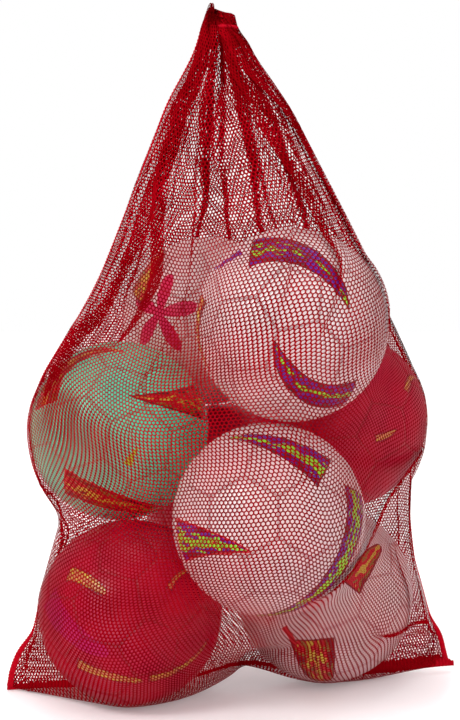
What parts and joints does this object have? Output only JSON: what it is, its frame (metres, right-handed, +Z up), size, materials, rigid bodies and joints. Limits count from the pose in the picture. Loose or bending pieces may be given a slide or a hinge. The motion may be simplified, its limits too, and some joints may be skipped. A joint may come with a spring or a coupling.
{
  "type": "mesh ball bag",
  "caption": "Drawstring net sack standing on the floor, full of footballs, its mouth drawn shut at the top and its bottom corners lying out to the sides.",
  "frame": {"origin": "on the floor, under the middle of the bag's box", "axes": "+Z up; -Y is the front, which shows the two front balls; +X to the right seen from the front"},
  "size_m": [0.5726, 0.5578, 0.833],
  "materials": {
    "red_net": "knitted polyester net",
    "seam_tape": "overlocked net edge",
    "cord": "braided polyester cord",
    "white_cover": "satin coated synthetic leather",
    "mint_cover": "satin coated synthetic leather",
    "crimson_cover": "satin coated synthetic leather",
    "bladder": "matte",
    "valve": "matte"
  },
  "bodies": {
    "bag": {"front_net_panel": "red_net", "back_net_panel": "red_net", "left_side_seam": "seam_tape", "right_side_seam": "seam_tape", "bottom_seam": "seam_tape", "drawstring_hem": "red_net", "drawstring": "cord"},
    "top_front_ball": {"top_front_ball_cover": "white_cover", "top_front_ball_bladder": "bladder", "top_front_ball_valve": "valve"},
    "left_ball": {"left_ball_cover": "mint_cover", "left_ball_bladder": "bladder", "left_ball_valve": "valve"},
    "centre_front_ball": {"centre_front_ball_cover": "white_cover", "centre_front_ball_bladder": "bladder", "centre_front_ball_valve": "valve"},
    "lower_left_ball": {"lower_left_ball_cover": "crimson_cover", "lower_left_ball_bladder": "bladder", "lower_left_ball_valve": "valve"},
    "right_ball": {"right_ball_cover": "crimson_cover", "right_ball_bladder": "bladder", "right_ball_valve": "valve"},
    "lower_right_ball": {"lower_right_ball_cover": "white_cover", "lower_right_ball_bladder": "bladder", "lower_right_ball_valve": "valve"},
    "top_back_ball": {"top_back_ball_cover": "white_cover", "top_back_ball_bladder": "bladder", "top_back_ball_valve": "valve"},
    "back_ball": {"back_ball_cover": "crimson_cover", "back_ball_bladder": "bladder", "back_ball_valve": "valve"}
  },
  "joints": [
    {"name": "top_front_ball_roll", "type": "hinge", "parent": "bag", "child": "top_front_ball", "pos_m": [0.0642, -0.1483, 0.4629], "axis": [1, 0, 0], "continuous": true},
    {"name": "left_ball_roll", "type": "hinge", "parent": "bag", "child": "left_ball", "pos_m": [-0.1425, -0.0031, 0.3225], "axis": [1, 0, 0], "continuous": true},
    {"name": "centre_front_ball_roll", "type": "hinge", "parent": "bag", "child": "centre_front_ball", "pos_m": [0.0383, -0.1645, 0.2422], "axis": [1, 0, 0], "continuous": true},
    {"name": "lower_left_ball_roll", "type": "hinge", "parent": "bag", "child": "lower_left_ball", "pos_m": [-0.1258, -0.0716, 0.1126], "axis": [1, 0, 0], "continuous": true},
    {"name": "right_ball_roll", "type": "hinge", "parent": "bag", "child": "right_ball", "pos_m": [0.1282, 0.0216, 0.334], "axis": [1, 0, 0], "continuous": true},
    {"name": "lower_right_ball_roll", "type": "hinge", "parent": "bag", "child": "lower_right_ball", "pos_m": [0.1133, 0.0224, 0.1126], "axis": [1, 0, 0], "continuous": true},
    {"name": "top_back_ball_roll", "type": "hinge", "parent": "bag", "child": "top_back_ball", "pos_m": [-0.0355, 0.1445, 0.4481], "axis": [1, 0, 0], "continuous": true},
    {"name": "back_ball_roll", "type": "hinge", "parent": "bag", "child": "back_ball", "pos_m": [-0.015, 0.1645, 0.225], "axis": [1, 0, 0], "continuous": true}
  ]
}
